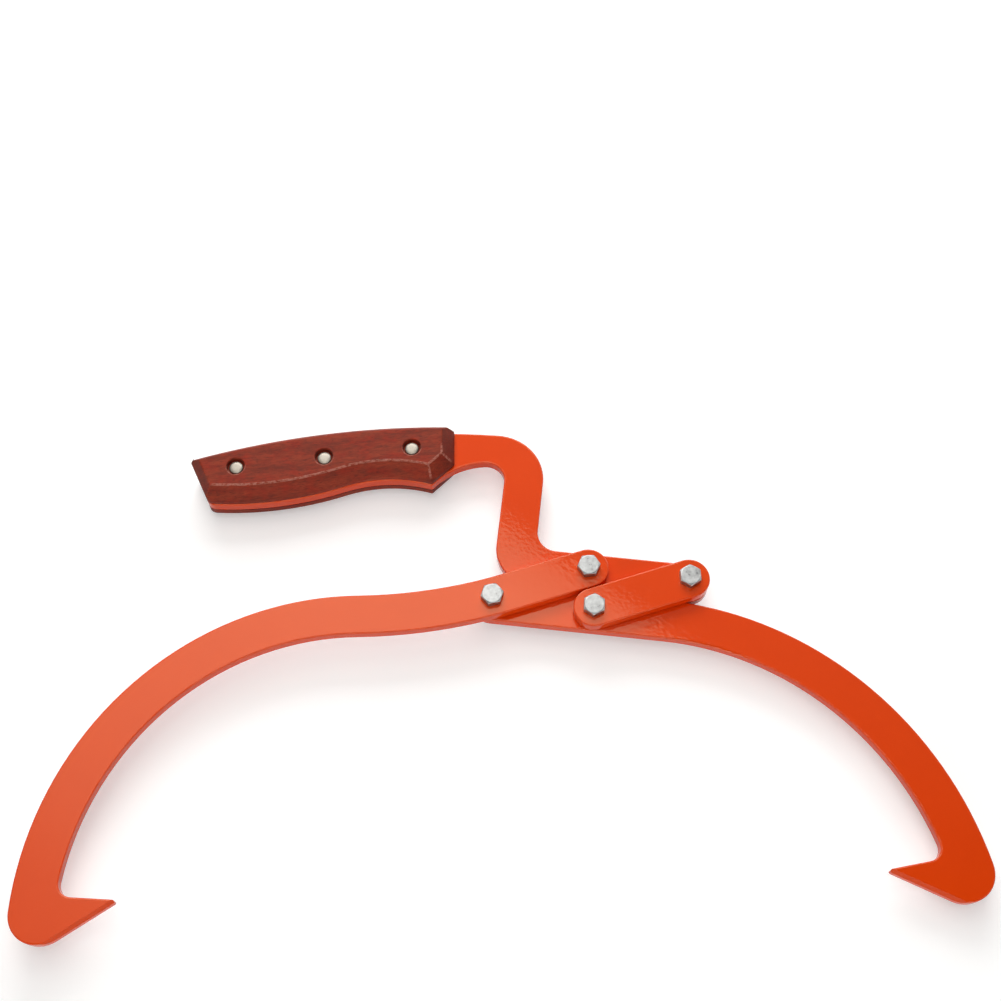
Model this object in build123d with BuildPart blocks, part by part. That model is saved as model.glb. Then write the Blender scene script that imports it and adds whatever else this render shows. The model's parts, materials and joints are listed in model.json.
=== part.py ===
from build123d import *
from math import acos, asin, atan2, degrees, hypot, radians, sqrt, tan
import os

# A flat-plate log grabber with a knife-style wooden handle, lying open on its rear scale. All sizes
# are in mm. The plates lie in two layers: the left jaw and the link in front (towards +Z), the
# handle plate and the right jaw behind.

# Plates
plate_thickness = 6
bar_width = 20
edge_round = 0.8
layer_gap = 0.2          # running gap between the two layers
fold_gap = 0.4           # left between two bars that have folded against each other

# Linkage: a rhombus of four pivots, A and C on the right jaw, B and D on the handle
pivot_spacing = 50
arm_lean = -6.3          # direction of the right arm and the handle's base arm in the open pose

# Left jaw, from pivot B through pivot A
left_straight = 41
left_bend_radius = 255   # offset bend, away from the claw's side
left_bend_angle = 17
left_claw_radius = 140
left_claw_angle = 89.5
left_tip_reach = 33.8    # tip from the heel's centre, inwards
left_tip_rise = 5        # tip from the heel's centre, back up the claw
left_tooth_angle = 3.4   # rise of the tooth's upper edge towards the throat

# Right jaw, from pivot A through pivot C
right_straight = 85
right_claw_radius = 153.5
right_claw_angle = 71.7
right_tip_reach = 33.8
right_tip_rise = 7.6
right_tooth_angle = -1.2

# Teeth of both jaws
heel_radius = 14.3
throat_radius = 6.5
tip_radius = 0.85
grind_width = 1.5        # ground bevel under the tooth, on the front face
grind_depth = 2.4

# Handle plate: base arm along B to D, neck square to it, tang swept back over the jaws
neck_offset = 37         # pivot B to the neck's centre line
neck_height = 47.5       # base arm's centre line to the start of the shoulder
heel_corner_radius = 20
neck_fillet = 10
shoulder_radius = 25
shoulder_angle = 92.1
gullet_height = 46       # base arm's centre line to the start of the gullet
gullet_radius = 9.7
gullet_angle = 100
horn_round = 1
butt_round = 5
butt_top_round = 0.9

# Tang: how far each point lies back, below or above the top of the neck's centre line
horn_back = 46.6
horn_drop = 8
groove_back = 91.2
groove_drop = 14.2
groove_slope = 25.8
butt_low_back = 158.1
butt_low_drop = 31.3
butt_high_back = 170.9
butt_high_drop = 10.9
facet_back = 36.6
facet_rise = 4.4
scale_end_back = 39.1
scale_end_rise = 24.3

# Wooden scales
scale_thickness = 10
front_land = 2.5         # square edge between the tang and the bevel
rear_land = 4
front_setback = 0.6      # ledge of bare tang on the finger side
rear_setback = 0
scale_bevel_run = 6
scale_top_raise = 3.3    # how far outside the tang the top bevel starts, before trimming
scale_butt_raise = 1.8   # the same at the butt

# Handle rivets: a post pressed into a tubular cap, both heads recessed
rivet_back = 102.5
rivet_drop = 2.5
rivet_pitch = 45
rivet_row_slope = 13.3
rivet_head_diameter = 7
rivet_rim_height = 0.9
rivet_dome_height = 0.5
rivet_recess = 1.4
rivet_recess_diameter = 9
rivet_tube_diameter = 5
rivet_pin_diameter = 3
rivet_tube_gap = 2       # left between the cap's tube and the post's head
rivet_pin_gap = 1.5      # left between the post's pin and the cap's head
rivet_clearance = 0.05
rivet_pin_clearance = 0.02

# Pivot bolts and lock nuts
bolt_diameter = 6
bolt_length = 20
bolt_end_chamfer = 0.8
wrench_size = 10
wrench_chamfer_angle = 30
head_height = 4
head_face_diameter = 9.3
head_gap = 0.1           # running gap under the bolt's head
pivot_clearance = 0.05
nut_height = 6
nut_hex_height = 4.2
nut_collar_diameter = 8.8
nut_collar_round = 0.5
nut_lip = 0.4
nut_lip_diameter = 6.8
ring_diameter = 7.6
thread_clearance = 0.02
bolt_turns = {"A": 12, "B": 5, "C": 26, "D": 32}

half_width = bar_width / 2
rear_z = scale_thickness
front_z = rear_z + plate_thickness + layer_gap
head_z = front_z + plate_thickness + head_gap
fold_angle = degrees(asin((bar_width + fold_gap) / pivot_spacing))


def along(start, angle, length):
    return Vector(start) + Vector(length, 0).rotate(Axis.Z, angle)


pivots = {"A": Vector(0, 0)}
pivots["B"] = along(pivots["A"], arm_lean + fold_angle, pivot_spacing)
pivots["C"] = along(pivots["A"], arm_lean, pivot_spacing)
pivots["D"] = along(pivots["B"], arm_lean, pivot_spacing)


def placed(pivot, z, angle):
    return Location((pivots[pivot].X, pivots[pivot].Y, z), (0, 0, angle))


def bar_end(centre, facing):
    # Rounded end of a bar that runs along X, facing -1 or +1
    return ThreePointArc(
        (centre, half_width), (centre + facing * half_width, 0), (centre, -half_width)
    )


def claw(outer_start, inner_start, heading, turn, radius, sweep, reach, rise, slope):
    # Arc, heel and tooth of a claw. Gives the tooth's lower and upper edges.
    tip_distance = hypot(reach, rise)
    heel_sweep = 180 + degrees(atan2(rise, reach) - acos(heel_radius / tip_distance))
    outer = JernArc(outer_start, heading, radius + half_width, turn * sweep)
    heel = JernArc(outer @ 1, outer % 1, heel_radius, turn * heel_sweep)
    lower = Line(heel @ 1, heel @ 1 + (heel % 1) * sqrt(tip_distance**2 - heel_radius**2))
    inner = JernArc(inner_start, heading, radius - half_width, turn * sweep, mode=Mode.PRIVATE)
    across = (outer % 1).rotate(Axis.Z, -turn * (90 + slope))
    upper = IntersectingLine(lower @ 1, across, inner)
    TangentArc(inner_start, upper @ 1, tangent=heading)
    return lower, upper


def grind(lower, turn):
    # Wedge that the ground bevel takes off the front corner of the tooth's lower edge
    inwards = (lower % 0).rotate(Axis.Z, turn * 90)
    start = lower @ 0 - (lower % 0) * heel_radius + Vector(0, 0, plate_thickness)
    upwards = -turn
    with BuildSketch(Plane(start, x_dir=inwards, z_dir=lower % 0)) as wedge:
        with BuildLine():
            Polyline(
                (2 * grind_width, upwards * -grind_depth),
                (-grind_width, upwards * 2 * grind_depth),
                (-grind_width, upwards * -grind_depth),
                close=True,
            )
        make_face()
    return wedge.sketch


def rounded_faces(part):
    return part.faces().filter_by(Axis.Z).sort_by(Axis.Z)


def grip(back, rise):
    # Point of the handle in the plate's frame, from the top of the neck's centre line
    return Vector(-neck_offset - back, neck_height + rise)


horn_tip = grip(horn_back, -horn_drop)
groove_end = grip(groove_back, -groove_drop)
butt_low = grip(butt_low_back, -butt_low_drop)
butt_high = grip(butt_high_back, -butt_high_drop)
scale_facet = grip(facet_back, facet_rise)
scale_end = grip(scale_end_back, scale_end_rise)


def finger_edges(setback):
    # Groove under the fingers and belly, set back from the tang's edge. Gives the belly.
    slope = Vector(1, 0).rotate(Axis.Z, groove_slope)
    inwards = Vector(0, setback)
    TangentArc(groove_end + inwards, horn_tip + inwards, tangent=slope)
    return TangentArc(groove_end + inwards, butt_low + inwards, tangent=-slope)


def hexagon():
    return RegularPolygon(wrench_size / 2, 6, major_radius=False)


def hex_chamfer(height):
    # Cone that takes the corners off a hexagon's upper end
    spread = height / tan(radians(wrench_chamfer_angle))
    return Cone(
        head_face_diameter / 2 + spread,
        head_face_diameter / 2,
        height,
        align=(Align.CENTER, Align.CENTER, Align.MIN),
        mode=Mode.INTERSECT,
    )


pivot_hole = bolt_diameter / 2 + pivot_clearance
rivet_hole = rivet_tube_diameter / 2 + rivet_clearance
rivet_points = [
    along(grip(rivet_back, -rivet_drop), rivet_row_slope, step * rivet_pitch) for step in (-1, 0, 1)
]
pieces = []

with BuildPart() as left_jaw:
    with BuildSketch() as left_outline:
        with BuildLine():
            bar_end(0, -1)
            outer = Line((0, -half_width), (left_straight, -half_width))
            outer_bend = JernArc(
                outer @ 1, outer % 1, left_bend_radius - half_width, -left_bend_angle
            )
            inner = Line((0, half_width), (left_straight, half_width))
            inner_bend = JernArc(
                inner @ 1, inner % 1, left_bend_radius + half_width, -left_bend_angle
            )
            left_lower, left_upper = claw(
                outer_bend @ 1,
                inner_bend @ 1,
                outer_bend % 1,
                1,
                left_claw_radius,
                left_claw_angle,
                left_tip_reach,
                left_tip_rise,
                left_tooth_angle,
            )
        make_face()
        fillet(left_outline.vertices().sort_by_distance(left_upper @ 1)[0], throat_radius)
        fillet(left_outline.vertices().sort_by_distance(left_upper @ 0)[0], tip_radius)
    extrude(amount=plate_thickness)
    with Locations((0, 0), (pivot_spacing, 0)):
        Hole(pivot_hole)
    fillet([face.outer_wire().edges() for face in rounded_faces(left_jaw.part)], edge_round)
    extrude(grind(left_lower, 1), amount=3 * heel_radius + left_tip_reach, mode=Mode.SUBTRACT)
left_jaw.part.label = "left_jaw"
left_jaw.part.location = placed("B", front_z, arm_lean + fold_angle + 180)
pieces.append(left_jaw)

with BuildPart() as right_jaw:
    with BuildSketch() as right_outline:
        with BuildLine():
            bar_end(0, -1)
            outer = Line((0, half_width), (right_straight, half_width))
            inner = Line((0, -half_width), (right_straight, -half_width))
            right_lower, right_upper = claw(
                outer @ 1,
                inner @ 1,
                outer % 1,
                -1,
                right_claw_radius,
                right_claw_angle,
                right_tip_reach,
                right_tip_rise,
                right_tooth_angle,
            )
        make_face()
        fillet(right_outline.vertices().sort_by_distance(right_upper @ 1)[0], throat_radius)
        fillet(right_outline.vertices().sort_by_distance(right_upper @ 0)[0], tip_radius)
    extrude(amount=plate_thickness)
    with Locations((0, 0), (pivot_spacing, 0)):
        Hole(pivot_hole)
    fillet([face.outer_wire().edges() for face in rounded_faces(right_jaw.part)], edge_round)
    extrude(grind(right_lower, -1), amount=3 * heel_radius + right_tip_reach, mode=Mode.SUBTRACT)
right_jaw.part.label = "right_jaw"
right_jaw.part.location = placed("A", rear_z, arm_lean)
pieces.append(right_jaw)

with BuildPart() as link:
    with BuildSketch():
        with Locations((pivot_spacing / 2, 0)):
            SlotCenterToCenter(pivot_spacing, bar_width)
    extrude(amount=plate_thickness)
    with Locations((0, 0), (pivot_spacing, 0)):
        Hole(pivot_hole)
    fillet([face.outer_wire().edges() for face in rounded_faces(link.part)], edge_round)
link.part.label = "link"
link.part.location = placed("C", front_z, arm_lean + fold_angle)
pieces.append(link)

with BuildPart() as handle_plate:
    with BuildSketch() as plate_outline:
        with BuildLine():
            neck_right = half_width - neck_offset
            neck_left = -half_width - neck_offset
            bar_end(pivot_spacing, 1)
            Polyline(
                (pivot_spacing, half_width), (neck_right, half_width), (neck_right, neck_height)
            )
            shoulder = JernArc((neck_right, neck_height), (0, 1), shoulder_radius, shoulder_angle)
            tang_top = TangentArc(shoulder @ 1, butt_high, tangent=shoulder % 1)
            Line(butt_high, butt_low)
            finger_edges(0)
            gullet = JernArc((neck_left, gullet_height), (0, 1), gullet_radius, gullet_angle)
            TangentArc(gullet @ 1, horn_tip, tangent=gullet % 1)
            Polyline(
                (neck_left, gullet_height), (neck_left, -half_width), (pivot_spacing, -half_width)
            )
        make_face()
        for corner, radius in (
            ((neck_right, half_width), neck_fillet),
            ((neck_left, -half_width), heel_corner_radius),
            (horn_tip, horn_round),
            (butt_low, butt_round),
            (butt_high, butt_top_round),
        ):
            fillet(plate_outline.vertices().sort_by_distance(Vector(corner))[0], radius)
    extrude(amount=plate_thickness)
    with Locations((0, 0), (pivot_spacing, 0)):
        Hole(pivot_hole)
    with Locations(*rivet_points):
        Hole(rivet_hole)
    fillet([face.outer_wire().edges() for face in rounded_faces(handle_plate.part)], edge_round)
handle_plate.part.label = "handle_plate"
handle_plate.part.location = placed("B", rear_z, arm_lean)
pieces.append(handle_plate)

top_centre = tang_top.arc_center


def raised(point):
    # The point on the top bevel's starting line that lies over a point of the tang
    outwards = (point - top_centre).normalized()
    return top_centre + outwards * (tang_top.radius + scale_top_raise)


recess_depth = rivet_recess + rivet_rim_height + rivet_dome_height
rivet_span = plate_thickness + 2 * (scale_thickness - recess_depth)
rivet_edge = rivet_head_diameter / 2
rivet_top = rivet_rim_height + rivet_dome_height
pin_radius = rivet_pin_diameter / 2
pin_length = rivet_span - rivet_pin_gap
tube_radius = rivet_tube_diameter / 2
tube_length = rivet_span - rivet_tube_gap
tube_bore = pin_radius + rivet_pin_clearance
grip_frame = placed("B", 0, arm_lean)

def make_scale(land, setback):
    # One scale, standing on the tang with its bevelled side up
    bevel_height = scale_thickness - land
    taper = degrees(atan2(scale_bevel_run, bevel_height))
    butt_outwards = (butt_high - butt_low).normalized().rotate(Axis.Z, 90)
    butt_corner = butt_high + butt_outwards * scale_butt_raise
    with BuildSketch() as scale_outline:
        with BuildLine():
            belly = finger_edges(setback)
            reach = (butt_corner - belly @ 1).dot(butt_outwards) / (belly % 1).dot(butt_outwards)
            Polyline(belly @ 1, belly @ 1 + (belly % 1) * reach, butt_corner, raised(butt_corner))
            RadiusArc(raised(butt_corner), raised(scale_end), tang_top.radius + scale_top_raise)
            Polyline(raised(scale_end), scale_facet, horn_tip + Vector(0, setback))
        make_face()
    with BuildPart() as scale:
        extrude(scale_outline.sketch, amount=land)
        bevel_base = scale_outline.sketch.moved(Location((0, 0, land)))
        extrude(bevel_base, amount=bevel_height, taper=taper)
        extrude(plate_outline.sketch, amount=scale_thickness, mode=Mode.INTERSECT)
        with Locations(*[point + Vector(0, 0, scale_thickness) for point in rivet_points]):
            CounterBoreHole(rivet_hole, rivet_recess_diameter / 2, recess_depth)
    return scale


front_scale = make_scale(front_land, front_setback)
front_scale.part.label = "front_scale"
front_scale.part.location = placed("B", rear_z + plate_thickness, arm_lean)
pieces.append(front_scale)

with BuildPart() as rear_scale:
    add(mirror(make_scale(rear_land, rear_setback).part, about=Plane.XY, mode=Mode.PRIVATE))
rear_scale.part.label = "rear_scale"
rear_scale.part.location = placed("B", rear_z, arm_lean)
pieces.append(rear_scale)

for number, point in enumerate(rivet_points, 1):
    with BuildPart() as rivet_post:
        with BuildSketch(Plane.XZ):
            with BuildLine():
                Polyline(
                    (0, rivet_top),
                    (0, -pin_length),
                    (pin_radius, -pin_length),
                    (pin_radius, 0),
                    (rivet_edge, 0),
                    (rivet_edge, rivet_rim_height),
                )
                TangentArc((0, rivet_top), (rivet_edge, rivet_rim_height), tangent=(1, 0))
            make_face()
        revolve(axis=Axis.Z)
    rivet_post.part.label = f"rivet_post_{number}"
    front_seat = 2 * scale_thickness + plate_thickness - recess_depth
    rivet_post.part.location = grip_frame * Location((point.X, point.Y, front_seat))
    pieces.append(rivet_post)

    with BuildPart() as rivet_cap:
        with BuildSketch(Plane.XZ):
            with BuildLine():
                Polyline(
                    (0, rivet_top),
                    (0, 0),
                    (tube_bore, 0),
                    (tube_bore, -tube_length),
                    (tube_radius, -tube_length),
                    (tube_radius, 0),
                    (rivet_edge, 0),
                    (rivet_edge, rivet_rim_height),
                )
                TangentArc((0, rivet_top), (rivet_edge, rivet_rim_height), tangent=(1, 0))
            make_face()
        revolve(axis=Axis.Z)
    rivet_cap.part.label = f"rivet_cap_{number}"
    rivet_cap.part.location = grip_frame * Location((point.X, point.Y, recess_depth), (180, 0, 0))
    pieces.append(rivet_cap)

bolt_radius = bolt_diameter / 2
ring_floor = nut_hex_height
ring_height = nut_height - nut_lip - ring_floor

for pivot, turn in bolt_turns.items():
    with BuildPart() as pivot_bolt:
        with BuildSketch():
            hexagon()
        extrude(amount=head_height)
        hex_chamfer(head_height)
        with BuildSketch():
            Circle(bolt_radius)
        extrude(amount=-bolt_length)
        chamfer(pivot_bolt.faces().sort_by(Axis.Z)[0].edges(), bolt_end_chamfer)
    pivot_bolt.part.label = f"pivot_bolt_{pivot.lower()}"
    pivot_bolt.part.location = placed(pivot, head_z, turn)
    pieces.append(pivot_bolt)

    with BuildPart() as lock_nut:
        with BuildSketch():
            hexagon()
        extrude(amount=nut_hex_height)
        hex_chamfer(nut_hex_height)
        with BuildSketch():
            Circle(nut_collar_diameter / 2)
        extrude(amount=nut_height)
        fillet(lock_nut.faces().sort_by(Axis.Z)[-1].edges(), nut_collar_round)
        with BuildSketch():
            Circle(bolt_radius + thread_clearance)
        extrude(amount=nut_height, mode=Mode.SUBTRACT)
        with BuildSketch(Plane.XY.offset(ring_floor)):
            Circle(ring_diameter / 2)
        extrude(amount=ring_height, mode=Mode.SUBTRACT)
        with BuildSketch(Plane.XY.offset(ring_floor)):
            Circle(nut_lip_diameter / 2)
        extrude(amount=nut_height - ring_floor, mode=Mode.SUBTRACT)
    lock_nut.part.label = f"lock_nut_{pivot.lower()}"
    nut_at = placed(pivot, rear_z, turn) * Location((0, 0, 0), (180, 0, 0))
    lock_nut.part.location = nut_at
    pieces.append(lock_nut)

    with BuildPart() as nylon_ring:
        with BuildSketch(Plane.XY.offset(ring_floor)):
            Circle(ring_diameter / 2)
            Circle(bolt_radius + thread_clearance, mode=Mode.SUBTRACT)
        extrude(amount=ring_height)
    nylon_ring.part.label = f"nylon_ring_{pivot.lower()}"
    nylon_ring.part.location = nut_at
    pieces.append(nylon_ring)

# The origin is the middle of the part's footprint, on the surface it lies on
boxes = [piece.part.bounding_box() for piece in pieces]
middle_x = (min(box.min.X for box in boxes) + max(box.max.X for box in boxes)) / 2
middle_y = (min(box.min.Y for box in boxes) + max(box.max.Y for box in boxes)) / 2
bench = Location((-middle_x, -middle_y, 0))
os.makedirs("parts", exist_ok=True)
for piece in pieces:
    piece.part.location = bench * piece.part.location
    export_step(piece.part, f"parts/{piece.part.label}.step")
    print(f"{piece.part.label}: {piece.part.volume:.1f} mm3")
for pivot, centre in pivots.items():
    print(f"pivot {pivot}: {(bench * Location(centre)).position}")
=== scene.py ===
# %% [markdown]
# # A log grabber, dressed for its portrait
# The tool is a pair of hooked steel claws on a linkage of four bolts. Lifting the wooden handle closes
# the claws round a log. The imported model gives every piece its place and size, so this lesson only
# adds what the solids lack: finishes, soft edges, screw threads, light and a camera.

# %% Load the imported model
import json
import math

import bmesh
import bpy
from mathutils import Matrix, Vector


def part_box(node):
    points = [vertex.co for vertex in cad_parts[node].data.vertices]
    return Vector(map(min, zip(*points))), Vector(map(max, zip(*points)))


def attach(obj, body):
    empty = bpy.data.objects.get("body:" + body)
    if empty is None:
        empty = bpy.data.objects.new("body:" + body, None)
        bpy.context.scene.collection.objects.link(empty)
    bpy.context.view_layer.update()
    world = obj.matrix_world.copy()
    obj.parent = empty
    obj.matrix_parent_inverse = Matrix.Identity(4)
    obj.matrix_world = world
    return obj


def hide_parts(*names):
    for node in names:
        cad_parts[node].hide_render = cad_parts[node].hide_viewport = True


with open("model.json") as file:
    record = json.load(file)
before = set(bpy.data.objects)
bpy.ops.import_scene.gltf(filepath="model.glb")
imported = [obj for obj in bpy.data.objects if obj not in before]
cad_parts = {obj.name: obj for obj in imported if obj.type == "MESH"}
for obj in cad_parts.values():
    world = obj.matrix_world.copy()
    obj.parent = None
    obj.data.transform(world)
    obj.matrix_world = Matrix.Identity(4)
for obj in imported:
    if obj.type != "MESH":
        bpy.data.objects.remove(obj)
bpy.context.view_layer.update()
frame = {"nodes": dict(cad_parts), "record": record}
nodes = frame["nodes"]
MM = 0.001

# %% [markdown]
# ## Colours and nodes
# A colour is written as the hex value that a paint chart gives, and one function turns it into the
# linear light that a renderer adds up. A second small function places a node, sets its values and
# makes its links, so each finish below reads as a list of what goes into it. Some sockets share a name,
# so they go by number: 6 and 7 are the two colours of a Mix, and 1 to 4 are the ends of the range that
# a Map Range reads and of the range that it gives.

# %% Helpers for finishes
def linear(hex_code):
    channels = [int(hex_code[at:at + 2], 16) / 255 for at in (1, 3, 5)]
    light = [c / 12.92 if c <= 0.04045 else ((c + 0.055) / 1.055) ** 2.4 for c in channels]
    return (*light, 1.0)


def add(tree, kind, sockets=None, **settings):
    node = tree.nodes.new(kind)
    for name, value in settings.items():
        setattr(node, name, value)
    for name, value in (sockets or {}).items():
        if isinstance(value, bpy.types.NodeSocket):
            tree.links.new(value, node.inputs[name])
        else:
            node.inputs[name].default_value = value
    return node


def new_finish(name):
    material = bpy.data.materials.new(name)
    material.use_nodes = True
    tree = material.node_tree
    shader = tree.nodes["Principled BSDF"]
    place = tree.nodes.new("ShaderNodeTexCoord").outputs["Object"]
    return material, tree, shader, place


def per_metre(*sizes_mm):
    return tuple(1 / (size * MM) for size in sizes_mm)


print("mid grey in linear light:", round(linear("#808080")[0], 3))

# %% [markdown]
# ## Orange powder coat
# The plates are laser-cut steel, sprayed with dry polyester powder that melts in an oven. The melt
# flows out almost level and leaves the faint dimples that painters call orange peel, here about 1.8 mm
# across. They are too shallow to shade the surface, and only show where the edge of a reflection
# breaks up on them. The colour is nearly even, so it drifts by a shade. The melt sets as smooth as a
# gloss paint, so its roughness is low, and its IOR is the 1.5 of most resins. Pigment right at the
# surface gives the sheen a faint yellow tint.

# %% Orange powder coat
def make_powder_coat():
    material, tree, shader, place = new_finish("orange_polyester_powder_coat")
    drift = add(tree, "ShaderNodeTexNoise", {"Vector": place, "Scale": per_metre(22)[0], "Detail": 2.0})
    colour = add(tree, "ShaderNodeMix", {
        "Factor": drift.outputs["Fac"], 6: linear("#E14008"), 7: linear("#E6440A"),
    }, data_type="RGBA")
    dimples = add(tree, "ShaderNodeTexNoise", {
        "Vector": place, "Scale": per_metre(1.8)[0], "Detail": 2.0, "Roughness": 0.5,
    })
    peel = add(tree, "ShaderNodeBump", {
        "Height": dimples.outputs["Fac"], "Strength": 1.0, "Distance": 0.03 * MM,
    })
    # Cut edges are striped under the coat, so they shine less than the rolled faces
    outwards = add(tree, "ShaderNodeTexCoord").outputs["Normal"]
    upwards = add(tree, "ShaderNodeSeparateXYZ", {"Vector": outwards}).outputs["Z"]
    rolled = add(tree, "ShaderNodeMath", {0: upwards}, operation="ABSOLUTE").outputs[0]
    shine = add(tree, "ShaderNodeMapRange", {"Value": rolled, 1: 0.3, 2: 0.9, 3: 0.18, 4: 0.5})
    tree.links.new(colour.outputs[2], shader.inputs["Base Color"])
    tree.links.new(shine.outputs[0], shader.inputs["Specular IOR Level"])
    tree.links.new(peel.outputs[0], shader.inputs["Normal"])
    shader.inputs["Roughness"].default_value = 0.04
    shader.inputs["IOR"].default_value = 1.5
    shader.inputs["Specular Tint"].default_value = linear("#FFFFDA")
    return material


powder_coat = make_powder_coat()
for name in ("handle_plate", "left_jaw", "right_jaw", "link"):
    nodes[name].material_slots[0].material = powder_coat
print("powder coat on 4 plates")

# %% [markdown]
# ## Where the handle lies
# Wood has a direction, so its finish needs the lie of the handle. The row of three rivets runs along it,
# and the scales lie on both sides of the tang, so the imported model's boxes give all of it.

# %% Lie of the handle
def middle(node):
    low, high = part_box(node)
    return (low + high) / 2


rivet_row = middle("rivet_post_3") - middle("rivet_post_1")
GRAIN_LEAN = math.atan2(rivet_row.y, rivet_row.x)
TANG_REAR_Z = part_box("rear_scale")[1].z
TANG_FRONT_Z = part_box("front_scale")[0].z
print("handle leans", round(math.degrees(GRAIN_LEAN), 2), "degrees")
print("tang from", round(TANG_REAR_Z / MM, 2), "to", round(TANG_FRONT_Z / MM, 2), "mm")

# %% [markdown]
# ## Stained hardwood
# The handle scales are a hard, close-grained wood, dyed red-brown and wiped with oil. Fibres run along
# the handle as thin streaks, pores show as short dark dashes, and the dye takes unevenly. Cut ends of
# fibres drink more of it, so faces that look along the handle are darker. This darkening is partly that
# stain and partly painted shade, on the butt, the far end and the walls of the rivet recesses. Where the
# hand rubs the ridges, the dye is gone and pale wood shows. Both looks share one recipe. It reads the
# wood along and across the grain, so the coordinates are first turned to lie along the handle. Fibres
# are really about 0.1 mm wide; they are drawn at 0.8 mm to show in the picture. Open pores break up the
# gloss, so the wood's IOR is set lower than an oil film's.

# %% Grain of the wood, by length and width
def streaks(tree, grain, length, width, detail):
    stretched = add(tree, "ShaderNodeMapping", {
        "Vector": grain, "Scale": per_metre(length, width, width),
    })
    return add(tree, "ShaderNodeTexNoise", {
        "Vector": stretched.outputs[0], "Scale": 1.0, "Detail": detail, "Roughness": 0.6,
    }).outputs["Fac"]


def facing_along_grain(tree):
    # How far a face looks along the fibres, from 0 to 1
    outwards = add(tree, "ShaderNodeTexCoord").outputs["Normal"]
    endwards = add(tree, "ShaderNodeVectorMath", {
        0: outwards, 1: (math.cos(GRAIN_LEAN), math.sin(GRAIN_LEAN), 0),
    }, operation="DOT_PRODUCT").outputs["Value"]
    return add(tree, "ShaderNodeMath", {0: endwards}, operation="ABSOLUTE").outputs[0]


along_grain = Matrix.Rotation(-GRAIN_LEAN, 3, "Z")
BUTT_X = (along_grain @ middle("rivet_post_1")).x
ROW_Y = (along_grain @ middle("rivet_post_2")).y
print("rivet row in mm:", round(ROW_Y / MM, 1), "across the grain, from", round(BUTT_X / MM, 1), "along it")

# %% [markdown]
# ## Rubbed ridges
# The hand wears the ridges on the finger side, below the row of rivets, and not at the butt. Only wood
# that stands well away from the tang is touched, and the wear comes in patches. Each of these is a value
# from 0 to 1, and their product is how bare the wood is. The limits are pairs of places, measured from the
# rivets or from the middle of the tang, between which the wear fades.

# %% Wear by the hand
FADE_AT_ROW = (ROW_Y - 2.9 * MM, ROW_Y + 1.1 * MM)
FADE_AT_BUTT = (BUTT_X - 14 * MM, BUTT_X - 10 * MM)
FADE_AT_TANG = (6.5 * MM, 8 * MM)
TANG_MIDDLE_Z = (TANG_REAR_Z + TANG_FRONT_Z) / 2


def rubbed_bare(tree, grain):
    apart = add(tree, "ShaderNodeSeparateXYZ", {"Vector": grain}).outputs
    finger_side = add(tree, "ShaderNodeMapRange", {
        "Value": apart["Y"], 1: FADE_AT_ROW[0], 2: FADE_AT_ROW[1], 3: 0.75, 4: 0.0,
    })
    clear_of_butt = add(tree, "ShaderNodeMapRange", {
        "Value": apart["X"], 1: FADE_AT_BUTT[0], 2: FADE_AT_BUTT[1], 3: 0.15, 4: 1.0,
    })
    above = add(tree, "ShaderNodeMath", {0: apart["Z"], 1: TANG_MIDDLE_Z}, operation="SUBTRACT")
    away = add(tree, "ShaderNodeMath", {0: above.outputs[0]}, operation="ABSOLUTE").outputs[0]
    proud = add(tree, "ShaderNodeMapRange", {"Value": away, 1: FADE_AT_TANG[0], 2: FADE_AT_TANG[1]})
    patches = add(tree, "ShaderNodeMapRange", {
        "Value": streaks(tree, grain, 1.8, 1.0, 3.0), 1: 0.36, 2: 0.58,
    })
    bare = finger_side
    for limit in (proud, clear_of_butt, patches):
        bare = add(tree, "ShaderNodeMath", {0: bare.outputs[0], 1: limit.outputs[0]}, operation="MULTIPLY")
    return bare.outputs[0]


print("wear fades at", [round(place / MM, 1) for place in FADE_AT_ROW], "mm across the grain")
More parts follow.
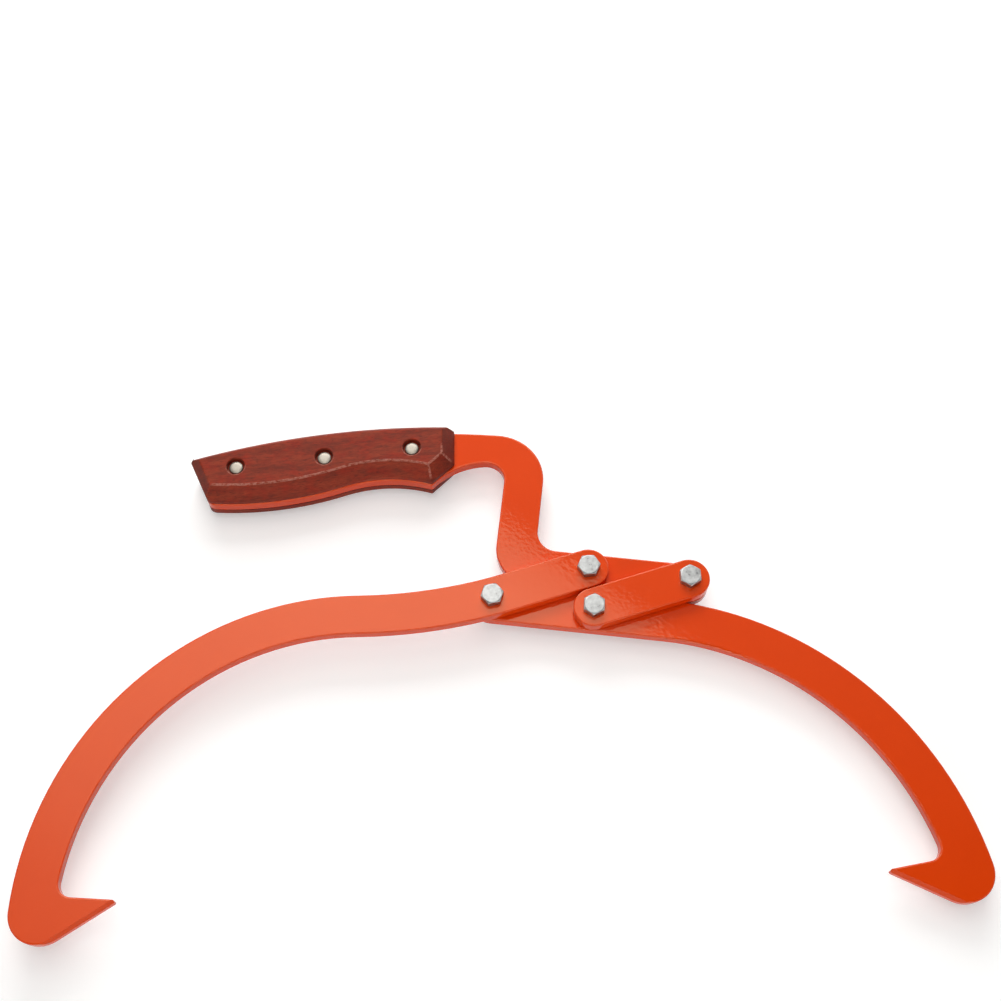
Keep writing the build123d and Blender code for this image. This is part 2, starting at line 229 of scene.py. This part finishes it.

# %% [markdown]
# ## Both woods
# The colour is laid down in the order of the real work: the bands of the timber, the dye, the dark fibres
# and pores that take more of it, and the ends that soak it up, which are darkened further by painted shade.
# The rubbed wood is the same with the wear on top. Fibres and pores are also felt, so they set the relief
# and the gloss.

# %% Stained hardwood, plain and rubbed
def make_stained_wood(name, rubbed):
    material, tree, shader, place = new_finish(name)
    grain = add(tree, "ShaderNodeMapping", {"Vector": place, "Rotation": (0, 0, -GRAIN_LEAN)}).outputs[0]
    bands = streaks(tree, grain, 48, 5, 3.0)
    fibres = streaks(tree, grain, 3.4, 0.8, 4.0)
    pores = streaks(tree, grain, 3, 0.5, 1.0)
    blotches = streaks(tree, grain, 9, 5, 3.0)

    figure = add(tree, "ShaderNodeValToRGB", {"Fac": bands})
    for stop, position, tone in zip(figure.color_ramp.elements, (0.30, 0.72), ("#712716", "#983A22")):
        stop.position = position
        stop.color = linear(tone)
    dye = add(tree, "ShaderNodeMapRange", {"Value": blotches, 1: 0.45, 2: 0.70, 3: 0.0, 4: 0.65})
    dyed = add(tree, "ShaderNodeMix", {
        "Factor": dye.outputs[0], 6: figure.outputs[0], 7: linear("#922310"),
    }, data_type="RGBA")
    shade = add(tree, "ShaderNodeMapRange", {"Value": fibres, 1: 0.30, 2: 0.70, 3: 0.70, 4: 1.28})
    streaked = add(tree, "ShaderNodeMix", {
        "Factor": 1.0, 6: dyed.outputs[2], 7: shade.outputs[0],
    }, data_type="RGBA", blend_type="MULTIPLY")
    pits = add(tree, "ShaderNodeMapRange", {"Value": pores, 1: 0.62, 2: 0.70, 3: 0.0, 4: 0.5})
    pitted = add(tree, "ShaderNodeMix", {
        "Factor": pits.outputs[0], 6: streaked.outputs[2], 7: linear("#3A120D"),
    }, data_type="RGBA")
    # Faces that look along the grain go darker brown: partly end grain soaking up the dye, partly painted
    # shade on the ends and recess walls
    soaked_and_painted_shade = add(tree, "ShaderNodeMapRange", {"Value": facing_along_grain(tree), 1: 0.35, 2: 0.6, 3: 0.0, 4: 0.42})
    colour = add(tree, "ShaderNodeMix", {
        "Factor": soaked_and_painted_shade.outputs[0], 6: pitted.outputs[2], 7: linear("#4A2420"),
    }, data_type="RGBA")
    if rubbed:
        colour = add(tree, "ShaderNodeMix", {
            "Factor": rubbed_bare(tree, grain), 6: colour.outputs[2], 7: linear("#B87868"),
        }, data_type="RGBA")

    relief = add(tree, "ShaderNodeMath", {0: pits.outputs[0], 1: -1.0, 2: fibres}, operation="MULTIPLY_ADD")
    raised = add(tree, "ShaderNodeBump", {
        "Height": relief.outputs[0], "Strength": 0.35, "Distance": 0.12 * MM,
    })
    sheen = add(tree, "ShaderNodeMapRange", {"Value": fibres, 1: 0.3, 2: 0.7, 3: 0.50, 4: 0.62})
    tree.links.new(colour.outputs[2], shader.inputs["Base Color"])
    tree.links.new(sheen.outputs[0], shader.inputs["Roughness"])
    tree.links.new(raised.outputs[0], shader.inputs["Normal"])
    shader.inputs["IOR"].default_value = 1.25
    return material


stained_wood = make_stained_wood("stained_oiled_hardwood", rubbed=False)
rubbed_wood = make_stained_wood("stained_hardwood_rubbed_on_ridges", rubbed=True)
print("wood finishes:", stained_wood.name, "and", rubbed_wood.name)

# %% [markdown]
# ## Bright zinc, satin nickel and nylon
# The bolts and nuts are steel with a bright zinc plating, which is a neutral, slightly blurred mirror
# with cloudy patches. The handle rivets are nickel plated, warmer and more satin. The ring in each lock
# nut is undyed nylon, a milky plastic.

# %% Plated metals and nylon
def make_plating(name, dull, bright, smooth, rough, cloud_mm):
    material, tree, shader, place = new_finish(name)
    clouds = add(tree, "ShaderNodeTexNoise", {
        "Vector": place, "Scale": per_metre(cloud_mm)[0], "Detail": 4.0,
    }).outputs["Fac"]
    colour = add(tree, "ShaderNodeMix", {
        "Factor": clouds, 6: linear(dull), 7: linear(bright),
    }, data_type="RGBA")
    blur = add(tree, "ShaderNodeMapRange", {"Value": clouds, 1: 0.3, 2: 0.7, 3: smooth, 4: rough})
    uneven = add(tree, "ShaderNodeBump", {"Height": clouds, "Strength": 0.4, "Distance": 0.006 * MM})
    tree.links.new(colour.outputs[2], shader.inputs["Base Color"])
    tree.links.new(blur.outputs[0], shader.inputs["Roughness"])
    tree.links.new(uneven.outputs[0], shader.inputs["Normal"])
    shader.inputs["Metallic"].default_value = 1.0
    return material


def make_nylon():
    material, tree, shader, place = new_finish("natural_nylon")
    cloud = add(tree, "ShaderNodeTexNoise", {"Vector": place, "Scale": per_metre(2)[0], "Detail": 2.0})
    colour = add(tree, "ShaderNodeMix", {
        "Factor": cloud.outputs["Fac"], 6: linear("#D6D4CA"), 7: linear("#E6E4DC"),
    }, data_type="RGBA")
    tree.links.new(colour.outputs[2], shader.inputs["Base Color"])
    shader.inputs["Roughness"].default_value = 0.45
    shader.inputs["IOR"].default_value = 1.53
    return material


zinc = make_plating("bright_zinc_plate", "#727374", "#C8C9C8", smooth=0.26, rough=0.44, cloud_mm=1.8)
nickel = make_plating("satin_nickel_plate", "#80796F", "#A69F94", smooth=0.36, rough=0.5, cloud_mm=1.2)
nylon = make_nylon()
for pivot in "abcd":
    nodes[f"nylon_ring_{pivot}"].material_slots[0].material = nylon
print("metals:", zinc.name, nickel.name, "- nylon on 4 rings")

# %% [markdown]
# ## Soft edges on the scales and the nuts
# A sanded wooden edge and a plated steel edge are never knife sharp, and the thin highlight along them
# is what makes a picture of them look real. The solids have plain corners, so a copy of each is merged,
# its flat triangles are joined, and a Bevel rounds the corners, except those pressed against a plate. On
# the wood, the strip that the Bevel makes gets the rubbed finish, as the hand would give it. Weighted
# normals then keep each flat face looking flat right up to its rounded edge.

# %% Plain meshes with level faces
def baked(piece):
    scene_now = bpy.context.evaluated_depsgraph_get()
    mesh = bpy.data.meshes.new_from_object(piece.evaluated_get(scene_now))
    piece.modifiers.clear()
    piece.data = mesh
    return mesh


def finished(piece):
    mesh = baked(piece)
    mesh.shade_smooth()
    mesh.set_sharp_from_angle(angle=math.radians(40))
    level = piece.modifiers.new("level_faces", "WEIGHTED_NORMAL")
    level.keep_sharp = True
    baked(piece)


bodies = frame["record"]["behaviour"]["bodies"]
body_of = {node: body for body, members in bodies.items() for node in members}

# %% Copies of solids with rounded corners
def softened(node, materials, width, corner, seat):
    mesh = nodes[node].data.copy()
    mesh.attributes.remove(mesh.attributes["custom_normal"])
    shape = bmesh.new()
    shape.from_mesh(mesh)
    bmesh.ops.remove_doubles(shape, verts=shape.verts, dist=0.0005 * MM)
    bmesh.ops.dissolve_limit(shape, angle_limit=math.radians(0.4), verts=shape.verts, edges=shape.edges)
    weights = shape.edges.layers.float.new("bevel_weight_edge")
    for edge in shape.edges:
        pressed = all(abs(vert.co.z - seat) < 0.01 * MM for vert in edge.verts)
        if not pressed and edge.calc_face_angle(0) > math.radians(corner):
            edge[weights] = 1
    shape.to_mesh(mesh)
    shape.free()
    mesh.materials.clear()
    for material in materials:
        mesh.materials.append(material)
    piece = bpy.data.objects.new(node + "_finished", mesh)
    bpy.context.scene.collection.objects.link(piece)
    round_off = piece.modifiers.new("round_off", "BEVEL")
    round_off.limit_method = "WEIGHT"
    round_off.width = width * MM
    round_off.segments = 3
    round_off.use_clamp_overlap = False
    round_off.material = len(materials) - 1
    finished(piece)
    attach(piece, body_of[node])
    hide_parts(node)
    print(piece.name, len(piece.data.polygons), "faces")


woods = [stained_wood, rubbed_wood]
softened("front_scale", woods, width=0.7, corner=16, seat=TANG_FRONT_Z)
softened("rear_scale", woods, width=0.7, corner=16, seat=TANG_REAR_Z)
for pivot in "abcd":
    softened(f"lock_nut_{pivot}", [zinc], width=0.12, corner=24, seat=TANG_REAR_Z)

# %% [markdown]
# ## Pieces set on seats
# The bolts are four alike, and so are the rivets, so each kind is made once and repeated. A node tree
# takes the seats as points, each with the turn of its piece, and sets a copy on every one. Both trees
# share their start, which names the sizes, and their end. They also mark their sharp edges in the same
# way, for a Bevel to ease.

# %% Start, edges and end of a tree
def new_tree(name, sizes):
    tree = bpy.data.node_groups.new(name, "GeometryNodeTree")
    tree.interface.new_socket("Geometry", in_out="INPUT", socket_type="NodeSocketGeometry")
    for size in sizes:
        tree.interface.new_socket(size, in_out="INPUT", socket_type="NodeSocketFloat")
    tree.interface.new_socket("Material", in_out="INPUT", socket_type="NodeSocketMaterial")
    tree.interface.new_socket("Geometry", in_out="OUTPUT", socket_type="NodeSocketGeometry")
    return tree, tree.nodes.new("NodeGroupInput").outputs


def sharp_edges_marked(tree, shape, corner):
    angle = add(tree, "GeometryNodeInputMeshEdgeAngle").outputs["Unsigned Angle"]
    sharp = add(tree, "ShaderNodeMath", {0: angle, 1: math.radians(corner)}, operation="GREATER_THAN")
    return add(tree, "GeometryNodeStoreNamedAttribute", {
        "Geometry": shape, "Name": "bevel_weight_edge", "Value": sharp.outputs[0],
    }, data_type="FLOAT", domain="EDGE").outputs[0]


def set_on_seats(tree, given, *shapes):
    whole = add(tree, "GeometryNodeJoinGeometry")
    for shape in shapes:
        tree.links.new(shape, whole.inputs[0])
    turn = add(tree, "GeometryNodeInputNamedAttribute", {"Name": "turn"}, data_type="FLOAT_VECTOR")
    copies = add(tree, "GeometryNodeInstanceOnPoints", {
        "Points": given["Geometry"], "Instance": whole.outputs[0], "Rotation": turn.outputs[0],
    })
    real = add(tree, "GeometryNodeRealizeInstances", {"Geometry": copies.outputs[0]})
    coated = add(tree, "GeometryNodeSetMaterial", {
        "Geometry": real.outputs[0], "Material": given["Material"],
    })
    add(tree, "NodeGroupOutput", {"Geometry": coated.outputs[0]})
    print(tree.name, len(tree.nodes), "nodes")


# %% Repeat a tree's piece on its seats
def repeat_on_seats(name, tree, sizes, material, seats, soften):
    mesh = bpy.data.meshes.new(name)
    mesh.from_pydata([seat for seat, turn in seats], [], [])
    turns = mesh.attributes.new("turn", "FLOAT_VECTOR", "POINT")
    for at, (seat, turn) in enumerate(seats):
        turns.data[at].vector = turn
    piece = bpy.data.objects.new(name, mesh)
    bpy.context.scene.collection.objects.link(piece)
    repeat = piece.modifiers.new("repeat", "NODES")
    repeat.node_group = tree
    keys = {item.name: item.identifier for item in tree.interface.items_tree if item.in_out == "INPUT"}
    for size, value in sizes.items():
        repeat[keys[size]] = value
    repeat[keys["Material"]] = material
    ease = piece.modifiers.new("ease", "BEVEL")
    ease.limit_method = "WEIGHT"
    ease.width = soften * MM
    ease.segments = 2
    ease.use_clamp_overlap = False
    finished(piece)
    print(piece.name, len(piece.data.polygons), "faces on", len(seats), "seats")
    return piece


# %% [markdown]
# ## Pivot bolts
# Each pivot is an M6 hex bolt. A machinist makes the head from hexagon bar and turns its corners off with
# a 30 degree cone, and Geometry Nodes can do just that: a six-sided cylinder cut by a cone. The thread is
# a triangle swept along a spiral, 1 mm for each turn. A Cone node stands on its seat, where a Cylinder
# is centred on it, so cones with equal ends make the shank. It is built upwards and then turned over.

# %% Bolt sizes and hex head
BOLT_SIZES = {
    "Across Flats": 10 * MM, "Head Height": 4 * MM, "Face Radius": 4.65 * MM, "Shank Radius": 3 * MM,
    "Plain Length": 12 * MM, "Thread Length": 8 * MM, "Thread Pitch": 1 * MM, "Thread Turns": 7.0,
}
HEX_CORNER = math.radians(30)
BAR_LENGTH = 12 * MM


def bolt_head(tree, given):
    corner = add(tree, "ShaderNodeMath", {
        0: given["Across Flats"], 1: 2 * math.cos(HEX_CORNER),
    }, operation="DIVIDE").outputs[0]
    bar = add(tree, "GeometryNodeMeshCylinder", {"Vertices": 6, "Radius": corner, "Depth": BAR_LENGTH})
    flare = add(tree, "ShaderNodeMath", {
        0: given["Head Height"], 1: 1 / math.tan(HEX_CORNER), 2: given["Face Radius"],
    }, operation="MULTIPLY_ADD").outputs[0]
    cone = add(tree, "GeometryNodeMeshCone", {
        "Vertices": 72, "Radius Top": given["Face Radius"], "Radius Bottom": flare,
        "Depth": given["Head Height"],
    })
    head = add(tree, "GeometryNodeMeshBoolean", operation="INTERSECT", solver="EXACT")
    for stock in (cone, bar):
        tree.links.new(stock.outputs["Mesh"], head.inputs["Mesh 2"])
    # The cut leaves twin points at the hexagon's corners, which a Bevel would turn into slivers
    merged = add(tree, "GeometryNodeMergeByDistance", {
        "Geometry": head.outputs["Mesh"], "Distance": 0.01 * MM,
    })
    return sharp_edges_marked(tree, merged.outputs[0], corner=20)


print("across corners in mm:", round(BOLT_SIZES["Across Flats"] / math.cos(HEX_CORNER) / MM, 2))

# %% Bolt thread
THREAD_DEPTH = 0.61  # of the pitch
CREST_REACH = 0.98   # of the depth, so that the crests stay inside the plain shank's width
RUN_OUT = 0.5        # of the pitch, left bare at both ends


def bolt_thread(tree, given, root):
    climb = add(tree, "ShaderNodeMath", {
        0: given["Thread Turns"], 1: given["Thread Pitch"],
    }, operation="MULTIPLY")
    spiral = add(tree, "GeometryNodeCurveSpiral", {
        "Resolution": 32, "Rotations": given["Thread Turns"], "Start Radius": root, "End Radius": root,
        "Height": climb.outputs[0],
    })
    upright = add(tree, "GeometryNodeSetCurveNormal", {"Curve": spiral.outputs[0]}, mode="Z_UP")
    crest = add(tree, "ShaderNodeMath", {
        0: given["Thread Pitch"], 1: CREST_REACH * THREAD_DEPTH,
    }, operation="MULTIPLY")
    ridge = add(tree, "GeometryNodeCurvePrimitiveCircle", {"Resolution": 3, "Radius": crest.outputs[0]})
    crest_out = add(tree, "GeometryNodeTransform", {
        "Geometry": ridge.outputs["Curve"], "Rotation": (0, 0, math.pi),
    })
    thread = add(tree, "GeometryNodeCurveToMesh", {
        "Curve": upright.outputs[0], "Profile Curve": crest_out.outputs[0], "Fill Caps": True,
    })
    run_out = add(tree, "ShaderNodeMath", {0: given["Thread Pitch"], 1: RUN_OUT}, operation="MULTIPLY")
    lift = add(tree, "ShaderNodeCombineXYZ", {"Z": run_out.outputs[0]})
    return add(tree, "GeometryNodeTransform", {
        "Geometry": thread.outputs[0], "Translation": lift.outputs[0],
    }).outputs[0]


print("thread depth in mm:", round(THREAD_DEPTH * BOLT_SIZES["Thread Pitch"] / MM, 2))

# %% Bolt shank and the whole bolt
TURNED_OVER = (math.pi, 0, 0)


def bolt_shank(tree, given):
    radius = given["Shank Radius"]
    plain = add(tree, "GeometryNodeMeshCone", {
        "Vertices": 40, "Radius Top": radius, "Radius Bottom": radius, "Depth": given["Plain Length"],
    })
    root = add(tree, "ShaderNodeMath", {
        0: given["Thread Pitch"], 1: -THREAD_DEPTH, 2: radius,
    }, operation="MULTIPLY_ADD").outputs[0]
    core = add(tree, "GeometryNodeMeshCone", {
        "Vertices": 40, "Radius Top": root, "Radius Bottom": root, "Depth": given["Thread Length"],
    })
    threaded = add(tree, "GeometryNodeJoinGeometry")
    for shape in (core.outputs["Mesh"], bolt_thread(tree, given, root)):
        tree.links.new(shape, threaded.inputs[0])
    lift = add(tree, "ShaderNodeCombineXYZ", {"Z": given["Plain Length"]})
    tip = add(tree, "GeometryNodeTransform", {
        "Geometry": threaded.outputs[0], "Translation": lift.outputs[0],
    })
    shank = add(tree, "GeometryNodeJoinGeometry")
    for shape in (plain.outputs["Mesh"], tip.outputs[0]):
        tree.links.new(shape, shank.inputs[0])
    return add(tree, "GeometryNodeTransform", {
        "Geometry": shank.outputs[0], "Rotation": TURNED_OVER,
    }).outputs[0]


bolt_tree, bolt_given = new_tree("hex_bolts_on_seats", BOLT_SIZES)
set_on_seats(bolt_tree, bolt_given, bolt_head(bolt_tree, bolt_given), bolt_shank(bolt_tree, bolt_given))

# %% [markdown]
# ## Bolts on their pivots
# Each bolt stands where the ring of its lock nut is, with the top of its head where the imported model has
# it, and turned as the spanner left it. Two of the bolts move with the right jaw and two with the handle,
# so they are two meshes.

# %% Set the bolts on their pivots
BOLT_TURNS = {"a": 12, "b": 5, "c": 26, "d": 32}
for body in ("right_jaw", "handle"):
    pivots = [pivot for pivot in BOLT_TURNS if body_of[f"pivot_bolt_{pivot}"] == body]
    seats = []
    for pivot in pivots:
        seat = middle(f"nylon_ring_{pivot}")
        seat.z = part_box(f"pivot_bolt_{pivot}")[1].z - BOLT_SIZES["Head Height"]
        seats.append((seat, (0, 0, math.radians(BOLT_TURNS[pivot]))))
    bolts = repeat_on_seats(f"pivot_bolts_{body}", bolt_tree, BOLT_SIZES, zinc, seats, soften=0.12)
    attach(bolts, body)
    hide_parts(*[f"pivot_bolt_{pivot}" for pivot in pivots])

# %% [markdown]
# ## Handle rivets
# Three rivets hold the scales to the tang. Each is a post pressed into a cap, and each half shows a low
# domed head at the bottom of its recess. The same tree makes both halves: a disc whose top swells
# towards the middle, on a straight stem. The caps are the same thing turned over.

# %% Domed rivets
RIVET_SIZES = {
    "Head Radius": 3.5 * MM, "Rim Height": 0.9 * MM, "Dome Height": 0.5 * MM,
    "Stem Radius": 1.5 * MM, "Stem Length": 18.9 * MM,
}
CAP_SIZES = {**RIVET_SIZES, "Stem Radius": 2.5 * MM, "Stem Length": 18.4 * MM}


def rivet_head(tree, given):
    radius = given["Head Radius"]
    disc = add(tree, "GeometryNodeMeshCone", {
        "Vertices": 48, "Fill Segments": 10, "Radius Top": radius, "Radius Bottom": radius,
        "Depth": given["Rim Height"],
    }, fill_type="TRIANGLE_FAN").outputs
    at = add(tree, "GeometryNodeInputPosition").outputs[0]
    flat = add(tree, "ShaderNodeVectorMath", {0: at, 1: (1, 1, 0)}, operation="MULTIPLY").outputs[0]
    reach = add(tree, "ShaderNodeVectorMath", {0: flat}, operation="LENGTH").outputs["Value"]
    share = add(tree, "ShaderNodeMath", {0: reach, 1: radius}, operation="DIVIDE").outputs[0]
    steep = add(tree, "ShaderNodeMath", {0: share, 1: 4.0}, operation="POWER").outputs[0]
    swell = add(tree, "ShaderNodeMapRange", {"Value": steep, 3: given["Dome Height"], 4: 0.0})
    rise = add(tree, "ShaderNodeCombineXYZ", {"Z": swell.outputs[0]}).outputs[0]
    domed = add(tree, "GeometryNodeSetPosition", {
        "Geometry": disc["Mesh"], "Selection": disc["Top"], "Offset": rise,
    })
    return sharp_edges_marked(tree, domed.outputs[0], corner=40)


def rivet_stem(tree, given):
    stem = add(tree, "GeometryNodeMeshCone", {
        "Vertices": 32, "Radius Top": given["Stem Radius"], "Radius Bottom": given["Stem Radius"],
        "Depth": given["Stem Length"],
    })
    return add(tree, "GeometryNodeTransform", {
        "Geometry": stem.outputs["Mesh"], "Rotation": TURNED_OVER,
    }).outputs[0]


rivet_tree, rivet_given = new_tree("domed_rivets_on_seats", RIVET_SIZES)
set_on_seats(
    rivet_tree, rivet_given, rivet_head(rivet_tree, rivet_given), rivet_stem(rivet_tree, rivet_given)
)

# %% Set the rivets in their recesses
head_height = RIVET_SIZES["Rim Height"] + RIVET_SIZES["Dome Height"]
post_seat_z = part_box("rivet_post_1")[1].z - head_height
cap_seat_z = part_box("rivet_cap_1")[0].z + head_height
for kind, sizes, seat_z, turn in (
    ("rivet_post", RIVET_SIZES, post_seat_z, (0, 0, 0)),
    ("rivet_cap", CAP_SIZES, cap_seat_z, TURNED_OVER),
):
    members = [f"{kind}_{number}" for number in (1, 2, 3)]
    seats = [((*middle(node).xy, seat_z), turn) for node in members]
    rivets = repeat_on_seats(f"{kind}s", rivet_tree, sizes, nickel, seats, soften=0.15)
    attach(rivets, "handle")
    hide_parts(*members)

# %% [markdown]
# ## Studio
# A product photographer lays such a tool on white paper that curves up into a wall, so no horizon
# shows from any side. The paper glows for the camera and for reflections, which takes it to white
# without putting more light on the tool, and it still darkens under the tool. Far paper gets less light
# from the lamps, so it glows more. The round wall is made by spinning one profile.

# %% Paper sweep
def make_sweep():
    floor_radius, cove_radius, wall_height, steps = 2.0, 0.8, 2.6, 12
    outline = [(0.0, 0.0), (floor_radius * 0.5, 0.0), (floor_radius, 0.0)]
    for step in range(1, steps + 1):
        angle = math.radians(90) * step / steps
        outline.append((
            floor_radius + cove_radius * math.sin(angle), cove_radius * (1 - math.cos(angle)),
        ))
    outline.append((floor_radius + cove_radius, wall_height))
    shape = bmesh.new()
    line = [shape.verts.new((x, 0, z)) for x, z in outline]
    edges = [shape.edges.new(pair) for pair in zip(line, line[1:])]
    bmesh.ops.spin(
        shape, geom=line + edges, cent=(0, 0, 0), axis=(0, 0, 1), angle=math.tau, steps=96,
        use_merge=True,
    )
    bmesh.ops.remove_doubles(shape, verts=shape.verts, dist=0.1 * MM)
    bmesh.ops.recalc_face_normals(shape, faces=shape.faces)
    mesh = bpy.data.meshes.new("paper_sweep")
    shape.to_mesh(mesh)
    shape.free()
    mesh.shade_smooth()
    sweep = bpy.data.objects.new("paper_sweep", mesh)
    bpy.context.scene.collection.objects.link(sweep)
    return sweep


def make_paper():
    material, tree, shader, place = new_finish("white_background_paper")
    path = add(tree, "ShaderNodeLightPath").outputs
    seen = path["Is Camera Ray"]
    for ray in ("Is Glossy Ray", "Is Transmission Ray"):
        seen = add(tree, "ShaderNodeMath", {0: seen, 1: path[ray]}, operation="MAXIMUM").outputs[0]
    reach = add(tree, "ShaderNodeVectorMath", {0: place}, operation="LENGTH").outputs["Value"]
    gain = add(tree, "ShaderNodeMapRange", {"Value": reach, 1: 0.5, 2: 1.9, 3: 0.42, 4: 0.9})
    glow = add(tree, "ShaderNodeMath", {0: seen, 1: gain.outputs[0]}, operation="MULTIPLY")
    shader.inputs["Base Color"].default_value = linear("#E0E0DF")
    shader.inputs["Roughness"].default_value = 0.9
    shader.inputs["Specular IOR Level"].default_value = 0.1
    shader.inputs["Emission Color"].default_value = linear("#FFFFFF")
    tree.links.new(glow.outputs[0], shader.inputs["Emission Strength"])
    return material


sweep = make_sweep()
sweep.data.materials.append(make_paper())
print("sweep:", len(sweep.data.polygons), "faces")

# %% [markdown]
# ## Light
# Gloss shows what hangs over it. One soft box hangs over the left claw, and its mirror image is the
# pale bloom on that half of the tool. Its straight edge crosses the neck, the link and the right arm.
# The other three hang where the flat faces don't mirror them to the camera. The one behind the handle
# does much of the lighting, so the light falls off towards the tips. One overhead softens the shadows
# between the layers, and a low one at the front fills the near edges.

# %% Soft boxes
def soft_box(name, place, aim, width, depth, radiance, turn=0):
    # A panel's power is its radiance times pi times its area
    lamp = bpy.data.lights.new(name, "AREA")
    lamp.shape = "RECTANGLE"
    lamp.size, lamp.size_y = width, depth
    lamp.energy = radiance * math.pi * width * depth
    box = bpy.data.objects.new(name, lamp)
    look = (Vector(aim) - Vector(place)).to_track_quat("-Z", "Y").to_matrix().to_4x4()
    box.matrix_world = Matrix.Translation(place) @ look @ Matrix.Rotation(math.radians(turn), 4, "Z")
    bpy.context.scene.collection.objects.link(box)
    return lamp


bloom = soft_box(
    "box_over_left_claw", (-0.266, 0.268, 1.242), (-0.266, 0.268, 0),
    width=0.85, depth=0.935, radiance=2.58, turn=-38,
)
soft_box("box_at_back", (-0.05, 0.85, 0.68), (0, 0.05, 0.02), width=0.9, depth=0.5, radiance=5.0)
soft_box("box_overhead", (0, -0.17, 1.3), (0, -0.17, 0), width=0.9, depth=0.35, radiance=2.7)
soft_box("box_at_front", (0.05, -1.3, 0.32), (0.02, 0.1, 0.02), width=1.6, depth=0.5, radiance=2.8)

# %% [markdown]
# ## Fall-off and room
# The bloom is weaker towards the tip of the claw and along its straight edge, so the panel fades at both
# ends, and its cloth is a little warm. The room glows only towards the back, so the right claw stays deep
# orange.

# %% Fading panel
PANEL_FADE = ((0.0, 0.3), (0.17, 0.46), (0.27, 0.65), (0.7, 1.0), (0.9, 1.0), (1.0, 0.6))
bloom.color = linear("#FFFDF8")[:3]
bloom.use_nodes = True
panel = bloom.node_tree
on_panel = add(panel, "ShaderNodeNewGeometry").outputs["Parametric"]
up_panel = add(panel, "ShaderNodeSeparateXYZ", {"Vector": on_panel}).outputs["Y"]
fade = add(panel, "ShaderNodeValToRGB", {"Fac": up_panel})
stops = fade.color_ramp.elements
for position, share in PANEL_FADE[1:-1]:
    stops.new(position)
for stop, (position, share) in zip(stops, PANEL_FADE):
    stop.color = (share, share, share, 1)
panel.links.new(fade.outputs[0], panel.nodes["Emission"].inputs["Strength"])
print("panel fades over", len(stops), "stops")

# %% Dim room
world = bpy.data.worlds.new("dim_room")
bpy.context.scene.world = world
world.use_nodes = True
sky = world.node_tree
towards = add(sky, "ShaderNodeTexCoord").outputs["Generated"]
backwards = add(sky, "ShaderNodeSeparateXYZ", {"Vector": towards}).outputs["Y"]
dim = add(sky, "ShaderNodeMapRange", {"Value": backwards, 1: 0.15, 2: 0.48, 3: 0.0, 4: 0.55})
sky.nodes["Background"].inputs["Color"].default_value = linear("#FFFFFF")
sky.links.new(dim.outputs[0], sky.nodes["Background"].inputs["Strength"])
bpy.context.scene.view_settings.view_transform = "Standard"
print("room:", world.name)

# %% [markdown]
# ## Camera
# The photograph looks down on the tool from its claws' side, 64 degrees above the floor. The 50 mm lens
# and the distance of 0.7 m give its perspective, with the near tips a little larger than the handle.

# %% Camera
CAMERA_AT = Vector((-0.002895, -0.221085, 0.6540))
CAMERA_AIM = Vector((-0.002895, 0.087115, 0.0222))
lens = bpy.data.cameras.new("product_camera")
lens.lens = 50
lens.sensor_width = 36
camera = bpy.data.objects.new("product_camera", lens)
camera.location = CAMERA_AT
camera.rotation_euler = (CAMERA_AIM - CAMERA_AT).to_track_quat("-Z", "Y").to_euler()
bpy.context.scene.collection.objects.link(camera)
bpy.context.scene.camera = camera
print("camera distance in m:", round((CAMERA_AIM - CAMERA_AT).length, 3))
